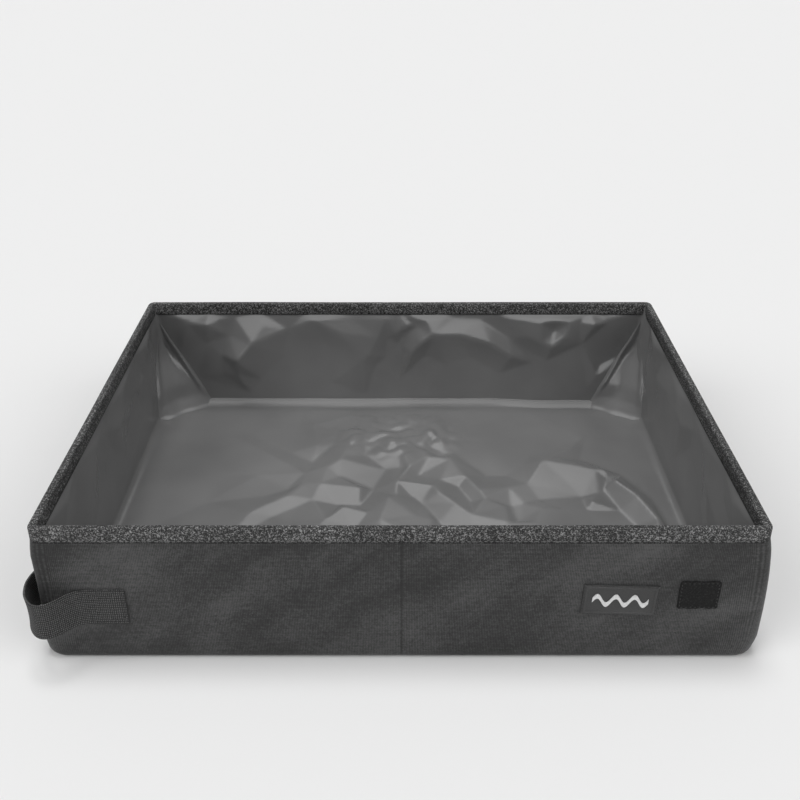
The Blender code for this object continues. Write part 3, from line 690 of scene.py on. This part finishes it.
# The film's corner tucks: it isn't cut to the corners, so it crosses each one as a slack
# triangle from the rim to the floor, with a pinched fold down each side.
tuck_steps = 44
tuck_top_z, tuck_low_z = 0.0878, 0.0049
tuck_on_wall, tuck_on_end = 0.045, 0.037
tuck_out = 0.0007
pinch_wall, pinch_end = 0.0026, 0.0019
fillet_top_z, fillet_tall, fillet_wide = 0.0095, 0.0048, 0.0050


def fit(piece, body, slot, *stood_for):
    """Fixes a stiff piece to its body and hides the solids that it stands for; what it is of is not
    used.
    """
    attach(piece, body)
    if stood_for:
        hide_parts(*stood_for)


def shape_tuck(s, f, down, over):
    """Where one point of a tuck lies, so far down from the rim and over from wall to end."""
    z = tuck_low_z + (tuck_top_z - tuck_low_z) * (1 - down) ** 1.3
    spread = (tuck_top_z - z) / (tuck_top_z - tuck_low_z)
    near_x, far_y = film_half_width - tuck_on_wall * spread, film_half_depth - tuck_on_end * spread
    near = Vector(shape_film((s * near_x, f * film_half_depth, z)))
    far = Vector(shape_film((s * film_half_width, f * far_y, z)))
    near.z = far.z = z
    near.y += f * tuck_out
    far.x += s * tuck_out
    run = far - near
    inward = Vector((-s * abs(run.y), -f * abs(run.x), 0)).normalized()
    span = run.length
    room = min(1.0, span / 0.016)
    ridge = sum(
        high * math.exp(-(((gap - 0.0036 * room) / (0.0019 * room + 0.0002)) ** 2))
        for gap, high in ((over * span, pinch_wall), ((1 - over) * span, pinch_end))
    )
    ridge *= smooth_rise(0.010, 0.028, z)
    deep = 0.05 + 0.33 * smooth_rise(0.024, 0.066, z)
    hollow = deep * span * (1 - abs(2 * over - 1) ** 1.6) * smooth_rise(0.008, 0.016, z)
    rumple = 0.0022 * noise.noise(Vector((over * 3.1, z * 42, 3.0 * s + f)))
    rumple *= math.sin(math.pi * over) * room
    low = min(1.0, max(0.0, (fillet_top_z - z) / fillet_tall))
    fillet = fillet_wide * (1 - math.sqrt(1 - low * low))
    fillet *= smooth_rise(0.0, 0.15, min(over, 1 - over))
    return near + run * over + inward * (ridge * room - hollow + rumple + fillet)


for side, s in ends:
    for face, f in long_walls:
        tuck = bmesh.new()
        bmesh.ops.create_grid(tuck, x_segments=tuck_steps, y_segments=tuck_steps, size=0.5)
        for vert in tuck.verts:
            over = 0.5 - 0.5 * math.cos(math.pi * (vert.co.y + 0.5))
            vert.co = shape_tuck(s, f, vert.co.x + 0.5, over)
        bmesh.ops.recalc_face_normals(tuck, faces=tuck.faces)
        middle_face = max(tuck.faces, key=lambda item: -abs(item.calc_center_median().z - 0.04))
        if middle_face.normal.dot(Vector((-s, -f, 0))) < 0:
            bmesh.ops.reverse_faces(tuck, faces=tuck.faces)
        tuck_piece = add_piece(f"film_tuck_{face}_{side}", tuck, satin, film_thick)
        fit(tuck_piece, "base_" + side, "liner_film")
        flatten(tuck_piece)
        declare_sheet(tuck_piece)

# The rim tape: one coarse speckled woven tape, folded over the top edge all round and sewn
# through. It is a channel that stands a little proud of the cloth outside and the film inside.
tape_top_z = 0.097
tape_low_z = 0.087
tape_half_width = 0.2109
tape_half_depth = 0.1609
tape_across = 0.005
tape_thick = 0.0006
tape_corner = 0.0053
tape_ridge = 0.0016
tape_step = 0.006


def new_verts(result):
    """The points that an operation has just added."""
    return [item for item in result["geom"] if isinstance(item, bmesh.types.BMVert)]


tape = block(
    (2 * tape_half_width, 2 * tape_half_depth, tape_top_z - tape_low_z),
    (0, 0, (tape_top_z + tape_low_z) / 2),
)
tape_under = [face for face in tape.faces if face.normal.z < -0.9]
bmesh.ops.delete(tape, geom=tape_under, context="FACES")
tape_upright = [e for e in tape.edges if abs(e.verts[0].co.z - e.verts[1].co.z) > 0.005]
round_edges(tape, tape_upright, tape_corner, 6)
tape_lid = [face for face in tape.faces if face.normal.z > 0.9]
bmesh.ops.inset_individual(tape, faces=tape_lid, thickness=tape_across, use_even_offset=True)
tape_lid = [
    face for face in tape.faces
    if face.normal.z > 0.9 and face.calc_center_median().length < 0.12
]
tape_inner_edges = [edge for face in tape_lid for edge in face.edges]
bmesh.ops.delete(tape, geom=tape_lid, context="FACES_ONLY")
tape_turned = new_verts(bmesh.ops.extrude_edge_only(tape, edges=tape_inner_edges))
bmesh.ops.translate(tape, vec=(0, 0, tape_low_z - tape_top_z), verts=tape_turned)
bmesh.ops.recalc_face_normals(tape, faces=tape.faces)
tape_ridges = [
    edge for edge in tape.edges
    if min(v.co.z for v in edge.verts) > tape_top_z - hairline
    and any(abs(face.normal.z) < 0.5 for face in edge.link_faces)
]
round_edges(tape, tape_ridges, tape_ridge, 3)
slice_evenly(tape, tape_step, -0.204, 0.204, 0)
slice_evenly(tape, tape_step, -0.154, 0.154, 1)
slice_evenly(tape, 0.0025, tape_low_z, tape_top_z - tape_ridge, 2)
for vert in tape.verts:
    x, y, z = vert.co
    sway = 0.0005 * noise.noise(Vector((x * 18, y * 18, 7.0)))
    dip = 0.0003 * (noise.noise(Vector((x * 11, y * 11, 1.0))) - 0.5)
    vert.co = (x, y, z + sway * smooth_rise(0.097, 0.088, z) + dip * smooth_rise(0.09, 0.097, z))


def weave_tape():
    """The tape's finish: coarse light specks on dark, with painted shade darkening it along its low
    edge.
    """
    woven = new_finish("binding_tape", 0.75, 0.3)
    place = place_of(woven)
    cells = {"Vector": place, "Scale": 1250.0, "Randomness": 0.7}
    cells = shade(woven, "TexVoronoi", cells, "Distance")
    speck = maths(woven, "MULTIPLY", cells, cloudy(woven, place, 600.0, 3.0, 0.7))
    tone = colour_ramp(woven, speck, ((0.12, 0.013), (0.27, 0.045), (0.42, 0.27)))
    height = shade(woven, "SeparateXYZ", {"Vector": place}, "Z")
    # Painted shade: the tape darkens over its lowest 3 mm, along the edge where it meets the cloth.
    # The mottle below is the tape's own random unevenness in tone.
    hem = mapped(woven, height, 0.0870, 0.0900, 0.3, 1.0)
    shade_and_mottle = mapped(woven, cloudy(woven, place, 30.0, 3.0), 0.3, 0.7, 0.75, 1.15, "LINEAR")
    hem_shade_and_mottle = maths(woven, "MULTIPLY", hem, shade_and_mottle)
    tone = shade(woven, "VectorMath", {0: tone, "Scale": hem_shade_and_mottle}, "Vector", operation="SCALE")
    dress(woven, tone, cells, 0.6, 0.0004)
    return woven


woven = weave_tape()
tape_inside = slant_reach - tape_low_z


def cut_tape(label, body, stands_for, planes):
    """Cuts one length of the tape and fits it to the wall or corner that it runs along."""
    piece = add_piece("tape_" + label, trimmed(tape, planes), woven, tape_thick)
    fit(piece, body, "binding_tape", stands_for)


for side, s in ends:
    end_planes = [((s * 0.1, 0, 0), (s, 0, 0))]
    end_planes += [((0, f * tape_inside, 0), (0, -f, 0)) for face, f in long_walls]
    cut_tape(f"end_{side}", f"end_{side}_wall", f"end_{side}_binding", end_planes)
    for face, f in long_walls:
        corner, wall = f"corner_{face}_{side}", f"{face}_{side}"
        corner_planes = [
            ((0, f * tape_inside, 0), (0, f, 0)), ((s * corner_cut_x, 0, 0), (s, 0, 0))
        ]
        cut_tape(corner, corner, corner + "_binding", corner_planes)
        cut_tape(wall, wall + "_wall", wall + "_binding", half_wall(s, f))
tape.free()

# The closing strap: one length of 25 mm webbing. It is sewn flat to the front wall, stands off
# in a loop round the corner, and its end lies back on the end wall, held by hook and loop.
strap_path = (
    (-160.5, -161.05), (-170, -161.05), (-179, -161.1), (-187, -161.7), (-192.5, -164.2),
    (-197.3, -168.0), (-202.0, -171.6), (-206.6, -173.4), (-211.2, -172.4), (-215.4, -168.4),
    (-218.8, -161.9), (-220.5, -154.2), (-220.2, -147.2), (-218.4, -140), (-216.4, -132),
    (-214.8, -123), (-213.8, -113), (-213.35, -102), (-213.35, -92), (-213.35, -83.2),
)
strap_z = 0.041
strap_wide = 0.025
strap_thick = 0.0015
strap_edge = 0.0006
strap_curl = 0.0008
strap_droop = 0.0012
weft_pitch, warp_pitch, weave_deep = 0.0028, 0.0032, 0.00006
strap_points = [Vector((x / 1000, y / 1000, strap_z)) for x, y in strap_path]
strap_runs = [(b - a).length for a, b in zip(strap_points, strap_points[1:])]
strap_length = sum(strap_runs)


def along_strap(distance):
    """The middle of the strap at one distance from its sewn end, and which way it faces."""
    index = 0
    while index < len(strap_runs) - 1 and distance > strap_runs[index]:
        distance -= strap_runs[index]
        index += 1
    share = distance / strap_runs[index]
    before = strap_points[max(index - 1, 0)]
    start, end = strap_points[index], strap_points[index + 1]
    after = strap_points[min(index + 2, len(strap_points) - 1)]
    slope_in, slope_out = (end - before) / 2, (after - start) / 2
    near = (2 * share**3 - 3 * share**2 + 1) * start + (share**3 - 2 * share**2 + share) * slope_in
    far = (-2 * share**3 + 3 * share**2) * end + (share**3 - share**2) * slope_out
    lead = (6 * share**2 - 6 * share) * (start - end)
    lead += (3 * share**2 - 4 * share + 1) * slope_in + (3 * share**2 - 2 * share) * slope_out
    lead.normalize()
    return near + far, Vector((lead.y, -lead.x, 0))


strap = block((strap_length, strap_thick, strap_wide), (strap_length / 2, 0, 0))
round_edges(strap, strap.edges[:], strap_edge, 2)
slice_evenly(strap, 0.0014, 0.0, strap_length, 0)
slice_evenly(strap, 0.0016, -strap_wide / 2 + strap_edge, strap_wide / 2 - strap_edge, 2)
strap_weave_map = strap.loops.layers.uv.new("weave")
for face in strap.faces:
    for loop in face.loops:
        loop[strap_weave_map].uv = (loop.vert.co.x, loop.vert.co.z)
for vert in strap.verts:
    along, out, up = vert.co
    middle, facing = along_strap(min(max(along, 0.0), strap_length))
    loose = smooth_rise(0.028, 0.05, along) * smooth_rise(0.145, 0.11, along)
    curl = strap_curl * loose * (1 - (2 * up / strap_wide) ** 2)
    droop = -strap_droop * loose + 0.0006 * noise.noise(Vector((along * 40, 0, 3.0)))
    row = math.sin(2 * math.pi * along / weft_pitch) * math.sin(2 * math.pi * up / warp_pitch)
    vert.co = middle + facing * (out + curl + math.copysign(weave_deep, out) * row)
    vert.co.z = strap_z + up + droop


def weave_webbing():
    """The strap's finish: thick threads both ways, a little fuzzy."""
    webbing = new_finish("strap_webbing", 0.8, 0.3)
    lay = shade(webbing, "UVMap", uv_map="weave")
    along = thread_bands(webbing, lay, 285.0, 1.6, 2.0, "X")
    across = thread_bands(webbing, lay, 235.0, 1.6, 2.0, "Y")
    knit = maths(webbing, "MULTIPLY", along, across)
    mixed = maths(webbing, "MULTIPLY_ADD", cloudy(webbing, lay, 500.0, 3.0), 0.5, knit)
    tone = colour_ramp(webbing, mixed, ((0.2, 0.016), (0.6, 0.052), (1.05, 0.15)))
    dress(webbing, tone, mixed, 0.6, 0.0004)
    return webbing


strap_piece = add_piece("strap", strap, weave_webbing())
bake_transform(strap_piece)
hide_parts("carry_strap", "strap_anchor_tab")

# The hook and loop tape: three cut pieces with rounded corners and a fuzzy face, the loop
# piece that closes the folded tray, the one that parks the strap, and the strap's own hooks.


def grained(name, roughness, specular, grain, stops, relief=None):
    """A plain finish with one fine grain in its tone and, where it has any, in its relief."""
    material = new_finish(name, roughness, specular)
    height = cloudy(material, place_of(material), *grain)
    dress(material, colour_ramp(material, height, stops), *((height, *relief) if relief else ()))
    return material


fuzz = grained(
    "hook_and_loop", 0.95, 0.15, (900.0, 4.0, 0.8), ((0.3, 0.010), (0.55, 0.020), (0.75, 0.055)),
    (0.9, 0.0006),
)
patch_corner = 0.0018
patch_edge = 0.0005
pile_step = 0.0008
pile_wander, pile_high = 0.0005, 0.00018


def patch_over(node_name, body, face_axis, face_way, aside=(0, 0, 0)):
    """A cut piece of tape in the place of its solid, its outer face rough with pile."""
    low, high = (corner + Vector(aside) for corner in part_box(node_name))
    shape = block(high - low, (low + high) / 2)
    upright = [e for e in shape.edges if abs((e.verts[0].co - e.verts[1].co)[face_axis]) > hairline]
    round_edges(shape, upright, patch_corner, 4)
    outer = high[face_axis] if face_way > 0 else low[face_axis]
    rim = [e for e in shape.edges if all(abs(v.co[face_axis] - outer) < 1e-6 for v in e.verts)]
    round_edges(shape, rim, patch_edge, 2)
    for axis in {0, 1, 2} - {face_axis}:
        slice_evenly(shape, pile_step, low[axis] + patch_corner, high[axis] - patch_corner, axis)
    for vert in shape.verts:
        spot = vert.co.copy()
        for axis in {0, 1, 2} - {face_axis}:
            vert.co[axis] += pile_wander * noise.noise(spot * 320 + Vector((axis, 0, 0)))
        if abs(spot[face_axis] - outer) < 0.0006:
            vert.co[face_axis] += face_way * pile_high * noise.noise(spot * 900)
    made = add_piece(node_name.replace("_pad", "_tape").replace("patch", "tape"), shape, fuzz)
    fit(made, body, "hook_and_loop", node_name)


loop_aside = (-0.0029, 0, 0.0017)
patch_over("closure_loop_patch", "front_right_wall", 1, -1, loop_aside)
patch_over("parking_loop_patch", "end_left_wall", 0, -1)
patch_over("strap_hook_pad", "strap", 0, 1)

# The label: a moulded rubber plate, sewn on through its edge, with a raised border. In its
# middle is a plain raised wave in pale rubber, moulded in one with it.
rubber = grained(
    "label_rubber", 0.5, 0.4, (1400.0, 3.0), ((0.3, 0.032), (0.7, 0.05)), (0.3, 0.0002)
)
pale = grained("pale_rubber", 0.55, 0.4, (900.0, 3.0), ((0.3, 0.62), (0.7, 0.78)))
label_middle = Vector((0.1288, -0.1604, 0.0459))
label_tilt = math.radians(-2.2)
sharp_turn = 0.6
label_wide, label_tall, label_thick = 0.0442, 0.0220, 0.0012


def ridges(shape, before_y):
    """The sharp edges of a shape that lie in front of one depth."""
    return [
        edge for edge in shape.edges
        if edge.calc_face_angle(0) > sharp_turn and max(v.co.y for v in edge.verts) < before_y
    ]


def set_on_label(shape):
    """Moves a shape made upright round the origin to its tilted place on the front wall."""
    for vert in shape.verts:
        x, y, z = vert.co
        across = x * math.cos(label_tilt) - z * math.sin(label_tilt)
        up = x * math.sin(label_tilt) + z * math.cos(label_tilt)
        vert.co = label_middle + Vector((across, y, up))
    for edge in shape.edges:
        if edge.calc_face_angle(0) > sharp_turn:
            edge.smooth = False


label = block((label_wide, label_thick, label_tall), (0, -label_thick / 2, 0))
for width, rise in ((0.0010, 0), (0.0002, 0.0005), (0.0012, 0), (0.0003, -0.0007)):
    label_face = min(
        (face for face in label.faces if face.normal.y < -0.9),
        key=lambda face: face.calc_center_median().xz.length - 10 * face.calc_area(),
    )
    bmesh.ops.inset_individual(
        label, faces=[label_face], thickness=width, depth=rise, use_even_offset=True
    )
round_edges(label, ridges(label, 0), 0.00012, 1)
set_on_label(label)
label_piece = add_piece("label", label, rubber)
fit(label_piece, "front_right_wall", "label_rubber", "label_plate", "label_border")

wave = bmesh.new()
wave_steps, wave_wide, wave_high, wave_stroke = 72, 0.033, 0.0030, 0.0032
wave_line = [wave.verts.new((0, 0, 0))]
for step in range(wave_steps):
    made = bmesh.ops.extrude_vert_indiv(wave, verts=[wave_line[-1]])
    wave_line.append(made["verts"][0])
for step, vert in enumerate(wave_line):
    share = step / wave_steps
    height = wave_high * math.sin(share * 6 * math.pi) - 0.0015
    vert.co = (wave_wide * (share - 0.5), -0.0010, height)
wave_top = new_verts(bmesh.ops.extrude_edge_only(wave, edges=wave.edges[:]))
bmesh.ops.translate(wave, vec=(0, 0, wave_stroke), verts=wave_top)
wave_front = new_verts(bmesh.ops.extrude_face_region(wave, geom=wave.faces[:]))
bmesh.ops.translate(wave, vec=(0, -0.0007, 0), verts=wave_front)
bmesh.ops.recalc_face_normals(wave, faces=wave.faces[:])
round_edges(wave, ridges(wave, -0.0015), 0.00018, 2)
set_on_label(wave)
fit(add_piece("label_wave", wave, pale), "front_right_wall", "pale_print", "label_motif")

# The sewing: short plump stitches a little sunk in what they hold, grey thread along the rim
# tape's edges on both sides, and dark thread round the label, the loop tape and the strap.
thread_grain = (2500.0, 2.0)
grey_thread = grained("grey_thread", 0.6, 0.4, thread_grain, ((0.3, 0.08), (0.7, 0.20)))
dark_thread = grained("dark_thread", 0.6, 0.4, thread_grain, ((0.3, 0.012), (0.7, 0.04)))
hem_pitch, round_pitch = 0.0032, 0.0024
stitch_long, stitch_wide, stitch_high = 0.36, 0.00028, 0.00022


def sew(shape, start, end, outward, pitch=hem_pitch):
    """A row of stitches from start to end, lying on a face that looks outward."""
    start, end, outward = Vector(start), Vector(end), Vector(outward)
    run = end - start
    count = max(1, int(run.length / pitch))
    lead = run.normalized()
    turn = Matrix((lead, outward.cross(lead), outward)).transposed().to_4x4()
    size = Matrix.Diagonal((pitch * stitch_long, stitch_wide, stitch_high, 1))
    for index in range(count):
        place = start + run * ((index + 0.5) / count)
        bmesh.ops.create_icosphere(
            shape, subdivisions=1, radius=1, matrix=Matrix.Translation(place) @ turn @ size
        )


def sew_round(name, middle, wide, tall, body, stands_for, turned=0.0):
    """Dark stitches round a rectangle on the front wall, kept as one piece."""
    shape = bmesh.new()
    across = Vector((math.cos(turned), 0, math.sin(turned))) * wide / 2
    up = Vector((-math.sin(turned), 0, math.cos(turned))) * tall / 2
    ways = ((-1, -1), (1, -1), (1, 1), (-1, 1))
    corners = [middle + s * across + f * up for s, f in ways]
    for near, far in zip(corners, corners[1:] + corners[:1]):
        sew(shape, near, far, (0, -1, 0), round_pitch)
    fit(add_piece(name, shape, dark_thread), body, "sewing_thread", stands_for)


hem_z = 0.0884
hem_end_x, hem_end_y = 0.2045, tape_inside - 0.001
for side, s in ends:
    for face, f in long_walls:
        rows = bmesh.new()
        near_x, far_x = crease_x + s * 0.001, s * hem_end_x
        for y, way in ((f * 0.16095, f), (f * 0.15585, -f)):
            sew(rows, (near_x, y, hem_z), (far_x, y, hem_z), (0, way, 0))
        hem = add_piece(f"hem_sewing_{face}_{side}", rows, grey_thread)
        fit(hem, f"{face}_{side}_wall", "sewing_thread")
    rows = bmesh.new()
    for x, way in ((s * 0.21095, s), (s * 0.20585, -s)):
        sew(rows, (x, -hem_end_y, hem_z), (x, hem_end_y, hem_z), (way, 0, 0))
    hem = add_piece(f"hem_sewing_end_{side}", rows, grey_thread)
    fit(hem, f"end_{side}_wall", "sewing_thread")
label_seam = label_middle + Vector((0, -label_thick, 0))
sew_round(
    "label_sewing", label_seam, label_wide - 0.0011, label_tall - 0.0011, "front_right_wall",
    "label_stitching", label_tilt,
)
loop_low, loop_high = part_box("closure_loop_patch")
loop_middle = (loop_low + loop_high) / 2 + Vector(loop_aside)
loop_middle.y = loop_low.y
sew_round(
    "loop_tape_sewing", loop_middle, 0.0215, 0.0175, "front_right_wall", "closure_patch_stitching"
)
sew_round(
    "strap_sewing", Vector((-0.1725, -0.16185, strap_z)), 0.0195, 0.0215, "front_left_wall",
    "strap_anchor_stitching",
)

# The stiffening boards: plain grey board in the base and the walls, out of sight between the
# cloth and the film. The base boards' corners are cut round, to lie in the cloth's corners.
board_finish = grained("grey_board", 0.8, 0.5, (300.0, 4.0), ((0.3, 0.24), (0.7, 0.34)))
board_half_width, board_half_depth, board_corner, board_edge = 0.2065, 0.1565, 0.010, 0.0022
board_low_z, board_top_z = 0.0009, 0.0034


def close_rim(shape):
    """Fills the open edge of a shape with one face."""
    bmesh.ops.edgeloop_fill(shape, edges=[edge for edge in shape.edges if edge.is_boundary])


for side, s in ends:
    board = open_box(
        board_half_width, board_half_depth, board_low_z, board_top_z, board_corner, 6, board_edge, 2
    )
    close_rim(board)
    half = trimmed(board, [((crease_x + s * 0.0003, 0, 0), (s, 0, 0))])
    close_rim(half)
    board.free()
    base_board = add_piece(f"board_base_{side}", half, board_finish)
    fit(base_board, "base_" + side, "stiffener_board", "base_board_" + side)
for node_name, node_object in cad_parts.items():
    if node_name.endswith("_board") and not node_object.hide_render:
        node_object.data.materials.clear()
        node_object.data.materials.append(board_finish)
